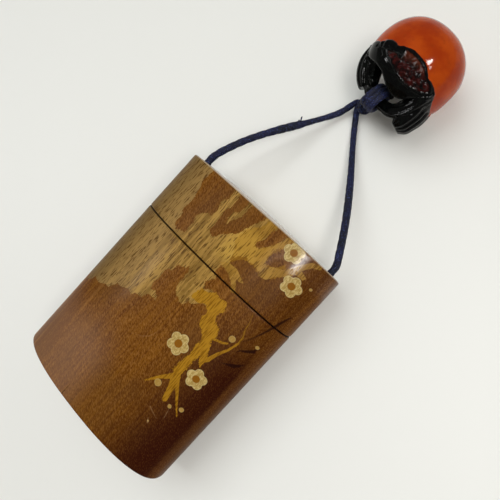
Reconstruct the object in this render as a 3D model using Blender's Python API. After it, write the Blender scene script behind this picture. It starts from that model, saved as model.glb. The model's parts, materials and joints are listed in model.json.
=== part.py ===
# Inro case: an oval wooden case with a lift-off lid, lying on its broad side, with its cord and carved toggle.
# Metres. +Z is up, +Y runs from the case's bottom to its lid, +X lies across the case.
# The origin is at the middle of the flat strip that the case lies on.
import math

import bmesh
import bpy
import numpy as np
from mathutils import Matrix, Vector

# Case
case_width = 0.0600
case_length = 0.0770
case_thickness = 0.0277
rest_depth = 0.0003
oval_power = 2.35
lid_height = 0.0210
seam_gap = 0.0003
edge_chamfer = 0.0002
rim_round = 0.0006
bottom_round = 0.0009
lid_dome = 0.0012
bottom_dome = 0.0008
lid_top_wall = 0.0024
floor_wall = 0.0052
inner_fillet = 0.0010
side_wall = 0.0021
channel_web = 0.0017
broad_wall = 0.0018
riser_wall = 0.0013
riser_height = 0.0060
lid_fit = 0.0003
oval_steps = 72
round_steps = 3
channel_steps = 16
cutter_reach = 0.0600
groove_mouth = 0.0032
groove_overlap = 0.0010
weld_distance = 0.000004

# Cord
cord_diameter = 0.0022
channel_clearance = 0.0004
cord_gap = 0.0003
groove_depth = 0.0026
cord_spacing = 0.0048
bend_steps = 4

# Toggle
toggle_half_width = 0.0139
toggle_half_length = 0.0132
toggle_half_height = 0.0135
toggle_rest_depth = 0.0003
toggle_reach = 0.0616
toggle_side = 0.0036
toggle_turn = math.radians(10)
toggle_power = 2.2
bar_reach = 0.0133
bar_drop = 0.0015
bar_half_depth = 0.0021
bar_half_height = 0.0036
strand_spacing = 0.00145
flute_depth = 0.00055
lens_rise = 0.0007
hood_rise = 0.0003
flat_reach = 0.0129
flat_keep = 0.2
flat_facing = Vector((0.88, 0.20, -0.43)).normalized()
bead_radius = 0.00125
dome_steps = 38
dome_rings = 22
arm_steps = 28
arm_spacing = 0.0026
arm_roundness = 0.75
front_depth = 0.0343

# What follows from the sizes above
half_width = case_width / 2
half_thick = (case_thickness + rest_depth) / 2
mid_height = half_thick - rest_depth
bottom_y = -case_length / 2
lid_rim_y = case_length / 2
lid_edge_y = lid_rim_y - lid_height
body_edge_y = lid_edge_y - seam_gap
riser_top_y = body_edge_y + riser_height
floor_y = bottom_y + floor_wall
ceiling_y = lid_rim_y - lid_top_wall
channel_radius = cord_diameter / 2 + channel_clearance
channel_x = half_width - side_wall - channel_radius
recess_size = (channel_x - channel_radius - channel_web, half_thick - broad_wall)
riser_size = tuple(size - lid_fit for size in recess_size)
cavity_size = tuple(size - riser_wall for size in riser_size)
toggle_place = Vector((toggle_side, lid_rim_y + toggle_reach, toggle_half_height - toggle_rest_depth))


def clear_scene():
    for old in list(bpy.data.objects):
        bpy.data.objects.remove(old, do_unlink=True)


def make_material(name, colour, roughness):
    material = bpy.data.materials.new(name)
    material.use_nodes = True
    shader = material.node_tree.nodes["Principled BSDF"]
    shader.inputs["Base Color"].default_value = (*colour, 1.0)
    shader.inputs["Roughness"].default_value = roughness
    shader.inputs["Metallic"].default_value = 0.0
    return material


def add_object(name, mesh, material):
    item = bpy.data.objects.new(name, mesh)
    bpy.context.collection.objects.link(item)
    mesh.materials.clear()
    mesh.materials.append(material)
    mesh.shade_smooth()
    mesh.set_sharp_from_angle(angle=math.radians(32))
    return item


def loft(name, rings, start=None, end=None):
    """A closed skin over rings of points; start and end are the points that close it."""
    work = bmesh.new()
    rows = [[work.verts.new(point) for point in ring] for ring in rings]
    for row, after in zip(rows, rows[1:]):
        for i in range(len(row)):
            j = (i + 1) % len(row)
            work.faces.new((row[i], row[j], after[j], after[i]))
    for row, tip in ((rows[0], start), (rows[-1], end)):
        point = work.verts.new(tip)
        for i in range(len(row)):
            work.faces.new((row[i], row[(i + 1) % len(row)], point))
    bmesh.ops.recalc_face_normals(work, faces=work.faces)
    mesh = bpy.data.meshes.new(name)
    work.to_mesh(mesh)
    work.free()
    return mesh


def tidy(mesh, triangles):
    """Welds what a cut leaves nearly touching, and splits all faces into triangles where asked."""
    work = bmesh.new()
    work.from_mesh(mesh)
    bmesh.ops.remove_doubles(work, verts=work.verts, dist=weld_distance)
    bmesh.ops.dissolve_degenerate(work, edges=work.edges, dist=weld_distance)
    if triangles:
        bmesh.ops.triangulate(work, faces=work.faces)
    work.to_mesh(mesh)
    work.free()


def combine(target, others, operation, triangles=False):
    """Joins or cuts the target with helper objects one by one, then takes the helpers away."""
    for other in others:
        if triangles:
            tidy(other.data, True)
        change = target.modifiers.new(other.name, "BOOLEAN")
        change.operation = operation
        change.solver = "EXACT"
        change.object = other
        graph = bpy.context.evaluated_depsgraph_get()
        mesh = bpy.data.meshes.new_from_object(target.evaluated_get(graph))
        target.modifiers.clear()
        tidy(mesh, triangles)
        target.data = mesh
        bpy.data.objects.remove(other, do_unlink=True)
    target.data.shade_smooth()
    target.data.set_sharp_from_angle(angle=math.radians(32))


# The case's oval

def oval_ring(size, y):
    """One oval across the case at y, cut flat where it would reach below the table."""
    ring = []
    for i in range(oval_steps):
        angle = (i + 0.5) * 2 * math.pi / oval_steps
        across, up = math.cos(angle), math.sin(angle)
        x = size[0] * math.copysign(abs(across) ** (2 / oval_power), across)
        z = mid_height + size[1] * math.copysign(abs(up) ** (2 / oval_power), up)
        ring.append(Vector((x, y, max(z, 0.0))))
    return ring


def shrink(size, amount):
    return (size[0] - amount, size[1] - amount)


def domed_end(rim_y, rise, round_size, outward):
    """Rings from the middle of a domed end out to the wall, over its rounded edge."""
    outer = (half_width, half_thick)
    flat = shrink(outer, round_size)
    rings = []
    for share in (0.4, 0.72, 0.92):
        y = rim_y + outward * rise * (1 - share ** 2)
        rings.append(oval_ring((flat[0] * share, flat[1] * share), y))
    for step in range(round_steps + 1):
        angle = step * math.pi / 2 / round_steps
        y = rim_y - outward * round_size * (1 - math.cos(angle))
        rings.append(oval_ring(shrink(outer, round_size * (1 - math.sin(angle))), y))
    return rings


def channel_cutter(name, x):
    """A round bar along Y through the whole case, for one cord channel."""
    work = bmesh.new()
    turn = Matrix.Rotation(math.pi / 2, 4, "X") @ Matrix.Rotation(math.pi / channel_steps, 4, "Z")
    place = Matrix.Translation((x, 0, mid_height))
    bmesh.ops.create_cone(work, cap_ends=True, segments=channel_steps, radius1=channel_radius,
                          radius2=channel_radius, depth=2 * cutter_reach, matrix=place @ turn)
    return cutter_object(name, work)


def groove_cutter():
    """The open groove in which the cord crosses the case's bottom."""
    work = bmesh.new()
    reach = channel_x + groove_overlap
    depth = groove_depth + groove_mouth
    middle_y = bottom_y + groove_depth - depth / 2
    size = Matrix.Diagonal((2 * reach, depth, 2 * channel_radius, 1))
    bmesh.ops.create_cube(work, size=1, matrix=Matrix.Translation((0, middle_y, mid_height)) @ size)
    return cutter_object("groove_cutter", work)


def cutter_object(name, work):
    mesh = bpy.data.meshes.new(name)
    work.to_mesh(mesh)
    work.free()
    item = bpy.data.objects.new(name, mesh)
    item.hide_render = True
    item.display_type = "WIRE"
    bpy.context.collection.objects.link(item)
    return item


def make_body(wood):
    outer = (half_width, half_thick)
    rings = domed_end(bottom_y, bottom_dome, bottom_round, -1)
    rings.append(oval_ring(outer, body_edge_y - edge_chamfer))
    rings.append(oval_ring(shrink(outer, edge_chamfer), body_edge_y))
    rings.append(oval_ring(riser_size, body_edge_y))
    rings.append(oval_ring(riser_size, riser_top_y - edge_chamfer))
    rings.append(oval_ring(shrink(riser_size, edge_chamfer), riser_top_y))
    rings.append(oval_ring(shrink(cavity_size, -edge_chamfer), riser_top_y))
    rings.append(oval_ring(cavity_size, riser_top_y - edge_chamfer))
    rings.append(oval_ring(cavity_size, floor_y + inner_fillet))
    rings.append(oval_ring(shrink(cavity_size, inner_fillet), floor_y))
    mesh = loft("case_body", rings, (0, bottom_y - bottom_dome, mid_height), (0, floor_y, mid_height))
    body = add_object("case_body", mesh, wood)
    cutters = [channel_cutter("left_channel", -channel_x), channel_cutter("right_channel", channel_x)]
    combine(body, cutters + [groove_cutter()], "DIFFERENCE")


def make_lid(wood):
    outer = (half_width, half_thick)
    rings = domed_end(lid_rim_y, lid_dome, rim_round, 1)
    rings.append(oval_ring(outer, lid_edge_y + edge_chamfer))
    rings.append(oval_ring(shrink(outer, edge_chamfer), lid_edge_y))
    rings.append(oval_ring(shrink(recess_size, -edge_chamfer), lid_edge_y))
    rings.append(oval_ring(recess_size, lid_edge_y + edge_chamfer))
    rings.append(oval_ring(recess_size, ceiling_y - inner_fillet))
    rings.append(oval_ring(shrink(recess_size, inner_fillet), ceiling_y))
    mesh = loft("case_lid", rings, (0, lid_rim_y + lid_dome, mid_height), (0, ceiling_y, mid_height))
    lid = add_object("case_lid", mesh, wood)
    combine(lid, [channel_cutter("left_hole", -channel_x), channel_cutter("right_hole", channel_x)],
            "DIFFERENCE")


# The toggle, in its own frame: x across, y away from the case, z up, from the middle of its dome

def toggle_point(share):
    return Vector((share[0] * toggle_half_width, share[1] * toggle_half_length,
                   share[2] * toggle_half_height))


def smooth_rows(rows, spacing):
    """Rows a set distance apart along a smooth curve; a row's first three numbers are its place."""
    rows = [np.array(row, dtype=float) for row in rows]
    ends = [2 * rows[0] - rows[1]] + rows + [2 * rows[-1] - rows[-2]]
    fine = []
    for before, a, b, after in zip(ends, ends[1:], ends[2:], ends[3:]):
        for step in range(24):
            t = step / 24
            pull = 2 * a + (b - before) * t + (2 * before - 5 * a + 4 * b - after) * t ** 2
            fine.append((pull + (3 * a - before - 3 * b + after) * t ** 3) / 2)
    fine = np.array(fine + [rows[-1]])
    lengths = np.concatenate(([0.0], np.cumsum(np.linalg.norm(np.diff(fine[:, :3], axis=0), axis=1))))
    marks = np.linspace(0.0, lengths[-1], max(3, round(lengths[-1] / spacing) + 1))
    return np.column_stack([np.interp(marks, lengths, column) for column in fine.T])


def dome_mesh():
    """The toggle's rounded body, with the carved hood and the swelling of its lens-shaped panel."""
    work = bmesh.new()
    bmesh.ops.create_uvsphere(work, u_segments=dome_steps, v_segments=dome_rings, radius=1.0)
    sizes = (toggle_half_width, toggle_half_length, toggle_half_height)
    for vert in work.verts:
        direction = vert.co.normalized()
        total = sum(abs(part / size) ** toggle_power for part, size in zip(direction, sizes))
        point = direction / total ** (1 / toggle_power)
        across = point.x / toggle_half_width
        along = point.y / toggle_half_length
        hood = 1 / (1 + math.exp((along - hood_edge) * hood_steepness))
        panel = 1 - ((across - lens["across"]) / lens["half_width"]) ** 2
        panel -= ((along - lens["along"]) / lens["half_length"]) ** 2
        swell = max(panel, 0.0) ** 0.5 if point.z > 0 else 0.0
        point += direction * (hood_rise * hood + lens_rise * swell)
        point -= flat_facing * max(point.dot(flat_facing) - flat_reach, 0.0) * (1 - flat_keep)
        point.z = max(point.z, toggle_rest_depth - toggle_half_height)
        vert.co = point
    mesh = bpy.data.meshes.new("toggle")
    work.to_mesh(mesh)
    work.free()
    return mesh


def rounded(value):
    """A sine or cosine drawn out, so that an oval comes nearer to a box."""
    return math.copysign(abs(value) ** arm_roundness, value)


def fluted_arm(name, arm):
    """An arm swept along its rows, its section a squarish oval with flutes over its top and sides."""
    rows = []
    for across, along, up, half_depth, half_height in arm["rows"]:
        rows.append((*toggle_point((across, along, up)), half_depth * toggle_half_length,
                     half_height * toggle_half_height))
    rows = smooth_rows(rows, arm_spacing)
    path = [Vector(row[:3]) for row in rows]
    rings = []
    for i, (centre, row) in enumerate(zip(path, rows)):
        ahead = path[min(i + 1, len(path) - 1)] - path[max(i - 1, 0)]
        outward = ahead.cross(Vector((0, 0, 1))).normalized()
        ring = []
        for step in range(arm_steps):
            angle = step * 2 * math.pi / arm_steps
            open_side = math.sin(angle) > arm["plain_below"]
            cut = flute_depth * (0.5 - 0.5 * math.cos(angle * arm["flutes"])) if open_side else 0.0
            side = rounded(math.cos(angle)) * (row[3] - cut)
            up = rounded(math.sin(angle)) * (row[4] - cut)
            ring.append(centre + outward * side + Vector((arm["lean"][0] * up, arm["lean"][1] * up, up)))
        rings.append(ring)
    return loft(name, rings, path[0], path[-1])


def front_cutter():
    """A block with a leaning, curved back that cuts the dome's front away and opens a way for the cord."""
    rings = []
    for rise in (-front["reach"] * toggle_half_height, front["reach"] * toggle_half_height):
        ring = []
        for across, along, lean in front["rows"]:
            back = toggle_point((across, along, 0))
            ring.append(back + Vector((front["lean_across"] * rise, lean * rise, rise)))
        for corner in (ring[-1], ring[0]):
            ring.append(Vector((corner.x, -front_depth, rise)))
        rings.append(ring)
    ends = [sum(ring, Vector()) / len(ring) for ring in rings]
    return loft("front_cutter", rings, ends[0], ends[1])


# Places are shares of the toggle's half sizes. A row of the front gives where its back stands at mid height,
# and how far it leans for its rise. A row of an arm ends in the arm's half depth and half height. The bar is
# the stretch of the ring that the cord goes round; it bends back by bar_bend times its squared distance.
hood_edge = -0.23
hood_steepness = 30
lens = {"across": 0.24, "along": -0.42, "half_width": 0.62, "half_length": 0.22}
front = {
    "reach": 1.3,
    "lean_across": 0.42,
    "rows": [(-1.20, -0.53, -0.33), (-0.78, -0.51, -0.33), (-0.66, -0.47, -0.36), (-0.53, -0.46, -0.40),
             (-0.42, -0.44, -0.45), (-0.26, -0.48, -0.52), (-0.09, -0.54, -0.58), (0.05, -0.60, -0.58),
             (0.17, -0.61, -0.58), (0.29, -0.56, -0.56), (0.36, -0.49, -0.53), (0.45, -0.40, -0.48),
             (0.52, -0.30, -0.42), (0.58, -0.19, -0.36)],
}
bar_along = -bar_reach / toggle_half_length
bar_up = -bar_drop / toggle_half_height
bar_depth = bar_half_depth / toggle_half_length
bar_height = bar_half_height / toggle_half_height
bar_bend = 0.39
bar_size = (bar_up, bar_depth, bar_height)
ring_arm = {
    "flutes": 6, "plain_below": -0.3, "lean": (0.35, -0.32),
    "rows": [(-0.64, -0.15, 0.0, 0.17, 0.58), (-0.70, -0.33, -0.02, 0.20, 0.54),
             (-0.67, -0.50, -0.04, 0.21, 0.48), (-0.58, -0.66, -0.07, 0.20, 0.41),
             (-0.47, -0.80, -0.09, 0.18, 0.34), (-0.36, -0.915, -0.11, 0.155, 0.28),
             (-0.24, bar_along + bar_bend * 0.24 ** 2, *bar_size), (0.0, bar_along, *bar_size),
             (0.20, bar_along + bar_bend * 0.20 ** 2, *bar_size), (0.34, -0.925, -0.09, 0.22, 0.34),
             (0.47, -0.79, -0.06, 0.25, 0.41), (0.55, -0.58, -0.03, 0.24, 0.48),
             (0.61, -0.35, -0.01, 0.22, 0.54), (0.64, -0.12, 0.0, 0.18, 0.56)],
}
left_band = {
    "flutes": 8, "plain_below": -0.3, "lean": (0.28, -0.22),
    "rows": [(-0.79, 0.05, -0.02, 0.10, 0.46), (-0.80, -0.12, -0.02, 0.18, 0.48),
             (-0.84, -0.33, -0.03, 0.22, 0.47), (-0.81, -0.56, -0.05, 0.23, 0.43),
             (-0.715, -0.76, -0.08, 0.21, 0.38), (-0.59, -0.92, -0.11, 0.17, 0.34),
             (-0.45, -1.03, -0.14, 0.13, 0.29)],
}
tail = {
    "flutes": 8, "plain_below": -0.3, "lean": (-0.12, -0.15),
    "rows": [(0.68, -0.15, 0.0, 0.14, 0.48), (0.75, -0.42, -0.02, 0.18, 0.46),
             (0.775, -0.66, -0.05, 0.21, 0.41), (0.76, -0.88, -0.07, 0.21, 0.37),
             (0.745, -1.03, -0.09, 0.19, 0.34), (0.735, -1.15, -0.13, 0.09, 0.25)],
}
bead_places = [(-0.30, -0.90, 0.22)]


def make_toggle(lacquer):
    toggle = add_object("toggle", dome_mesh(), lacquer)
    combine(toggle, [add_object("front_cutter", front_cutter(), lacquer)], "DIFFERENCE", triangles=True)
    joined = []
    for name, arm in (("left_band", left_band), ("tail", tail), ("ring", ring_arm)):
        joined.append(add_object(name, fluted_arm(name, arm), lacquer))
    for place in bead_places:
        bead = bmesh.new()
        bmesh.ops.create_uvsphere(bead, u_segments=14, v_segments=8, radius=bead_radius,
                                  matrix=Matrix.Translation(toggle_point(place)))
        mesh = bpy.data.meshes.new("bead")
        bead.to_mesh(mesh)
        bead.free()
        joined.append(add_object("bead", mesh, lacquer))
    combine(toggle, joined, "UNION", triangles=True)
    toggle.location = toggle_place
    toggle.rotation_euler = (0, 0, -toggle_turn)


# Cords

def cord_object(name, points, radius, silk, closed=False):
    """A round cord along the given points, with capped ends."""
    curve = bpy.data.curves.new(name, "CURVE")
    curve.dimensions = "3D"
    curve.bevel_depth = radius
    curve.bevel_resolution = 2
    curve.use_fill_caps = True
    line = curve.splines.new("POLY")
    line.points.add(len(points) - 1)
    for spot, point in zip(line.points, points):
        spot.co = (*point, 1.0)
    line.use_cyclic_u = closed
    item = bpy.data.objects.new(name, curve)
    bpy.context.collection.objects.link(item)
    curve.materials.append(silk)
    return item


def to_row(point):
    """A point of the toggle's frame in the frame of the whole."""
    return Matrix.Rotation(-toggle_turn, 4, "Z") @ Vector(point) + toggle_place


knot = {
    "low": (-0.42, -1.12, -0.735), "high": (-0.17, -1.25, -0.42), "width": 1.05, "length": 0.62,
    "loop_across": -0.07, "loop_lean": 0.25, "loop_steps": 20,
}


def knot_low_end():
    return to_row(toggle_point(knot["low"]))


# Chosen by eye; each run starts at its hole and ends at the knot
left_route = [(-0.0262, 0.0418, 0.0139), (-0.0248, 0.0462, 0.0136), (-0.0221, 0.0533, 0.0120),
              (-0.0186, 0.0611, 0.0091), (-0.0136, 0.0712, 0.0046), (-0.0093, 0.0796, 0.0021)]
right_route = [(0.0262, 0.0414, 0.0139), (0.0243, 0.0448, 0.0132), (0.0202, 0.0510, 0.0106),
               (0.0155, 0.0574, 0.0078), (0.0098, 0.0646, 0.0048), (0.0040, 0.0716, 0.0027),
               (-0.0008, 0.0776, 0.0015)]
left_end_offset = Vector((-0.0022, -0.0013, -0.0002))
right_end_offset = Vector((-0.0005, -0.0024, -0.0009))


def make_free_runs(silk):
    for name, side, route, offset in (("cord_left", -1, left_route, left_end_offset),
                                      ("cord_right", 1, right_route, right_end_offset)):
        hole = Vector((side * channel_x, lid_rim_y, mid_height))
        rows = smooth_rows([hole] + route + [knot_low_end() + offset], cord_spacing)
        cord_object(name, [Vector(row) for row in rows], cord_diameter / 2, silk)


def make_held_cord(silk):
    """The stretch inside the case: down one channel, across the bottom and up the other."""
    end_y = lid_rim_y - cord_gap
    cross_y = bottom_y + groove_depth - cord_gap - cord_diameter / 2
    bend = cord_diameter / 2 + channel_clearance
    points = [Vector((-channel_x, y, mid_height))
              for y in np.linspace(end_y, cross_y + bend, round(case_length / cord_spacing))]
    for step in range(1, bend_steps + 1):
        angle = step * math.pi / 2 / bend_steps
        points.append(Vector((-channel_x + bend * (1 - math.cos(angle)),
                              cross_y + bend * (1 - math.sin(angle)), mid_height)))
    count = round(channel_x / cord_spacing)
    half = [Vector((x, cross_y, mid_height)) for x in np.linspace(bend - channel_x, 0, count)]
    points += half[1:]
    mirrored = [Vector((-point.x, point.y, point.z)) for point in reversed(points[:-1])]
    cord_object("cord_held", points + mirrored, cord_diameter / 2, silk)


def loop_mesh(name, shift, silk):
    """One turn of the cord round the toggle's bar."""
    reach = cord_diameter / 2 + cord_gap
    across = knot["loop_across"] + shift / toggle_half_width
    middle = toggle_point((across, bar_along + bar_bend * across ** 2, bar_up))
    points = []
    for step in range(knot["loop_steps"]):
        angle = step * 2 * math.pi / knot["loop_steps"]
        up = (bar_half_height + reach) * rounded(math.sin(angle))
        along = (bar_half_depth + reach) * rounded(math.cos(angle)) + ring_arm["lean"][1] * up
        points.append(to_row(middle + Vector((knot["loop_lean"] * up, along, up))))
    loop = cord_object(name, points, cord_diameter / 2, silk, closed=True)
    graph = bpy.context.evaluated_depsgraph_get()
    mesh = bpy.data.meshes.new_from_object(loop.evaluated_get(graph))
    bpy.data.objects.remove(loop, do_unlink=True)
    mesh.name = name
    return mesh


def make_knot(silk):
    """The cord's three turns round the toggle's bar, side by side, and the knot that holds them."""
    item = add_object("cord_knot", loop_mesh("cord_knot", 0.0, silk), silk)
    others = []
    for name, shift in (("left_turn", -strand_spacing), ("right_turn", strand_spacing)):
        others.append(add_object(name, loop_mesh(name, shift, silk), silk))
    low = knot_low_end()
    high = to_row(toggle_point(knot["high"]))
    work = bmesh.new()
    bmesh.ops.create_uvsphere(work, u_segments=16, v_segments=10, radius=1.0)
    width = cord_diameter * knot["width"]
    shape = Matrix.Diagonal((width, width, (high - low).length * knot["length"], 1))
    turn = (high - low).to_track_quat("Z", "Y").to_matrix().to_4x4()
    work.transform(Matrix.Translation((low + high) / 2) @ turn @ shape)
    mass = bpy.data.meshes.new("mass")
    work.to_mesh(mass)
    work.free()
    combine(item, others + [add_object("mass", mass, silk)], "UNION")


clear_scene()
wood = make_material("wood", (0.20, 0.095, 0.04), 0.35)
lid_wood = make_material("lid_wood", (0.23, 0.12, 0.055), 0.35)
lacquer = make_material("toggle_lacquer", (0.55, 0.09, 0.02), 0.15)
silk = make_material("silk_cord", (0.012, 0.02, 0.075), 0.7)
make_body(wood)
make_lid(lid_wood)
make_toggle(lacquer)
make_free_runs(silk)
make_held_cord(silk)
make_knot(silk)
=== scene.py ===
# Inro case lying on a pale table: an oval wooden case with an inlaid plum tree, its dark blue silk cord
# and its lacquered toggle. Lengths are in millimetres, and in metres where a note says so.
import json
import math

import bmesh
import bpy
import numpy as np
from mathutils import Matrix, Vector

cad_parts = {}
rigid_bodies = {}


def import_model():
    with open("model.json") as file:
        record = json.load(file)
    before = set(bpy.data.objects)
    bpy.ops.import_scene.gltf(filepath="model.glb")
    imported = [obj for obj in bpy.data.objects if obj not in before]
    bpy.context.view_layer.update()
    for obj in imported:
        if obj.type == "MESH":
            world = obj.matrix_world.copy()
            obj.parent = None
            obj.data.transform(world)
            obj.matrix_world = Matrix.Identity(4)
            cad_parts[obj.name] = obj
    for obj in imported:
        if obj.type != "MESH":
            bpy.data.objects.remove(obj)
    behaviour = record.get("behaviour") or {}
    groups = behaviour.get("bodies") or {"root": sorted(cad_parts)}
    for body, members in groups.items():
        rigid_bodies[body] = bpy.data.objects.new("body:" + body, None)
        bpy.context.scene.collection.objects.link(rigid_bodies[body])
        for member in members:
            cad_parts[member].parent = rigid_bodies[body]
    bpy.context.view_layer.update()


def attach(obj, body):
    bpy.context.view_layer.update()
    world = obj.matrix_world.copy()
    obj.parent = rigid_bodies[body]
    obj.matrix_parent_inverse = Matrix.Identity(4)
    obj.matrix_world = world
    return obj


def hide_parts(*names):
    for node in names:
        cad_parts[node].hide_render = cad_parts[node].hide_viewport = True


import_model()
mm = 0.001


# Shader maths: a Value is a socket, and an expression on Values adds its Math nodes
class Value:
    def __init__(self, finish, socket):
        self.finish = finish
        self.socket = socket

    def maths(self, operation, *others):
        inputs = {i: item for i, item in enumerate((self,) + others)}
        return self.finish.node("ShaderNodeMath", {"operation": operation}, inputs)

    def flipped(self, operation, other):
        return self.finish.node("ShaderNodeMath", {"operation": operation}, {0: other, 1: self})

    def __add__(self, other):
        return self.maths("ADD", other)

    def __sub__(self, other):
        return self.maths("SUBTRACT", other)

    def __rsub__(self, other):
        return self.flipped("SUBTRACT", other)

    def __mul__(self, other):
        return self.maths("MULTIPLY", other)

    def __rmul__(self, other):
        return self.flipped("MULTIPLY", other)


class Finish:  # one material and its nodes
    def __init__(self, name):
        self.material = bpy.data.materials.new(name)
        self.material.use_nodes = True
        self.tree = self.material.node_tree
        self.shader = self.tree.nodes["Principled BSDF"]

    def node(self, kind, settings=None, inputs=None, out=0):
        made = self.tree.nodes.new(kind)
        for key, item in (settings or {}).items():
            setattr(made, key, item)
        for key, item in (inputs or {}).items():
            self.feed(made.inputs[key], item)
        return Value(self, made.outputs[out])

    def feed(self, target, item):
        if isinstance(item, Value):
            self.tree.links.new(item.socket, target)
        elif isinstance(item, tuple) and len(item) == 3 and target.type == "RGBA":
            target.default_value = (*item, 1.0)
        else:
            target.default_value = item

    def put(self, **items):  # sets the shader's sockets, as in Coat_Weight=0.1
        for key, item in items.items():
            self.feed(self.shader.inputs[key.replace("_", " ")], item)

    def place(self, stretch=(1, 1, 1), turn=0.0):  # object coordinates, turned, then stretched
        spot = self.node("ShaderNodeTexCoord", out="Object")
        inputs = {"Vector": spot, "Rotation": (0, 0, turn), "Scale": tuple(mm / part for part in stretch)}
        return self.node("ShaderNodeMapping", {"vector_type": "TEXTURE"}, inputs)

    def axis(self, name):  # one object coordinate
        return self.node("ShaderNodeSeparateXYZ", {}, {0: self.place()}, out=name)

    def noise(self, spot, scale, detail=3.0, roughness=0.5):
        inputs = {"Vector": spot, "Scale": scale, "Detail": detail, "Roughness": roughness}
        return self.node("ShaderNodeTexNoise", {}, inputs)

    def step(self, value, low, high):  # 0 at low, 1 at high, smooth between
        settings = {"interpolation_type": "SMOOTHSTEP", "clamp": True}
        return self.node("ShaderNodeMapRange", settings, {"Value": value, "From Min": low, "From Max": high})

    def blend(self, factor, below, above):
        settings = {"data_type": "RGBA", "blend_type": "MIX", "clamp_factor": True}
        return self.node("ShaderNodeMix", settings, {0: factor, 6: below, 7: above}, out=2)

    def read(self, name):  # a number stored at the mesh's points
        return self.node("ShaderNodeAttribute", {"attribute_name": name}, out="Fac")

    def inside(self, distance, soft=0.10):  # 1 where a distance is positive, with a soft edge
        return self.step(distance, -soft, soft)

    def bump(self, height, distance, strength):
        inputs = {"Height": height, "Distance": distance * mm, "Strength": strength}
        return self.node("ShaderNodeBump", {}, inputs)


def paint(red, green, blue):  # a display colour, 0 to 255, as the shaders take it
    return tuple(((part / 255 + 0.055) / 1.055) ** 2.4 for part in (red, green, blue))


# Meshes: points are rows of x, y, z
def addItem(name, data):
    item = bpy.data.objects.new(name, data)
    bpy.context.collection.objects.link(item)
    return item


def fromWork(name, work):  # an object from a finished bmesh
    mesh = bpy.data.meshes.new(name)
    work.to_mesh(mesh)
    work.free()
    return addItem(name, mesh)


def makeMesh(name, points, faces, sharpAngle=32):
    mesh = bpy.data.meshes.new(name)
    mesh.from_pydata([tuple(point) for point in np.asarray(points) * mm], [], faces)
    work = bmesh.new()
    work.from_mesh(mesh)
    bmesh.ops.recalc_face_normals(work, faces=work.faces)
    work.to_mesh(mesh)
    work.free()
    item = addItem(name, mesh)
    smooth(item, sharpAngle)
    return item


def joined(name, items):
    work = bmesh.new()
    for item in items:
        work.from_mesh(item.data)
        bpy.data.objects.remove(item, do_unlink=True)
    return fromWork(name, work)


def smooth(item, sharpAngle=32):
    item.data.shade_smooth()
    item.data.set_sharp_from_angle(angle=math.radians(sharpAngle))


def skin(rings, start=None, end=None):  # points and faces over closed rings, with a fan to each tip given
    count = len(rings[0])
    points = np.concatenate(rings)
    faces = []
    for row in range(len(rings) - 1):
        a = row * count
        for i in range(count):
            after = (i + 1) % count
            faces.append((a + i, a + after, a + count + after, a + count + i))
    for first, tip in ((0, start), (len(points) - count, end)):
        if tip is not None:
            points = np.concatenate([points, [tip]])
            faces += [(first + i, first + (i + 1) % count, len(points) - 1) for i in range(count)]
    return points, faces


def settle(item):  # the object's modifiers become its mesh
    graph = bpy.context.evaluated_depsgraph_get()
    mesh = bpy.data.meshes.new_from_object(item.evaluated_get(graph))
    item.modifiers.clear()
    item.data = mesh


def cut(item, cutter):
    change = item.modifiers.new("cut", "BOOLEAN")
    change.operation = "DIFFERENCE"
    change.solver = "EXACT"
    change.object = cutter
    settle(item)
    bpy.data.objects.remove(cutter, do_unlink=True)


def vertexRows(item, what):
    numbers = np.empty(len(item.data.vertices) * 3)
    item.data.vertices.foreach_get(what, numbers)
    return numbers.reshape(-1, 3)


def store(item, name, numbers):  # distances for the shader to read, kept within 4 mm
    made = item.data.attributes.new(name, "FLOAT", "POINT")
    made.data.foreach_set("value", np.clip(numbers, -4, 4).astype(np.float32))


def dress(item, finish, slotName, *nodes):
    item.data.materials.clear()
    item.data.materials.append(finish.material)
    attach(item, "root")
    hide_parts(*nodes)


# Curves and fades
def turnSteps(count):  # angles round a full turn
    return np.arange(count) * 2 * math.pi / count


def distances(path):  # from the start of a path to each of its points
    return np.concatenate(([0.0], np.cumsum(np.linalg.norm(np.diff(path, axis=0), axis=1))))


def smoothRows(rows, spacing):  # a smooth curve through the rows, evenly spaced
    rows = [np.array(row, dtype=float) for row in rows]
    ends = [2 * rows[0] - rows[1]] + rows + [2 * rows[-1] - rows[-2]]
    fine = []
    for before, a, b, after in zip(ends, ends[1:], ends[2:], ends[3:]):
        for t in np.arange(24) / 24:
            pull = 2 * a + (b - before) * t + (2 * before - 5 * a + 4 * b - after) * t ** 2
            fine.append((pull + (3 * a - before - 3 * b + after) * t ** 3) / 2)
    fine = np.array(fine + [rows[-1]])
    lengths = distances(fine[:, :3])
    marks = np.linspace(0.0, lengths[-1], max(3, round(lengths[-1] / spacing) + 1))
    return np.column_stack([np.interp(marks, lengths, column) for column in fine.T])


def blendStep(value, low, high):
    t = np.clip((value - low) / (high - low), 0.0, 1.0)
    return t * t * (3 - 2 * t)


def rounded(value):  # draws an oval out towards a box
    return np.sign(value) * np.abs(value) ** 0.75


# Distances in a flat drawing, positive inside the shape
def inOutline(x, y, outline):
    far = np.full(x.shape, 1e9)
    inside = np.zeros(x.shape, dtype=bool)
    for (ax, ay), (bx, by) in zip(outline, outline[1:] + outline[:1]):
        dx, dy = bx - ax, by - ay
        share = np.clip(((x - ax) * dx + (y - ay) * dy) / (dx * dx + dy * dy + 1e-12), 0, 1)
        far = np.minimum(far, np.hypot(x - ax - share * dx, y - ay - share * dy))
        if ay != by:
            crosses = ((ay > y) != (by > y)) & (x < (bx - ax) * (y - ay) / (by - ay) + ax)
            inside ^= crosses
    return np.where(inside, far, -far)


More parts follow.
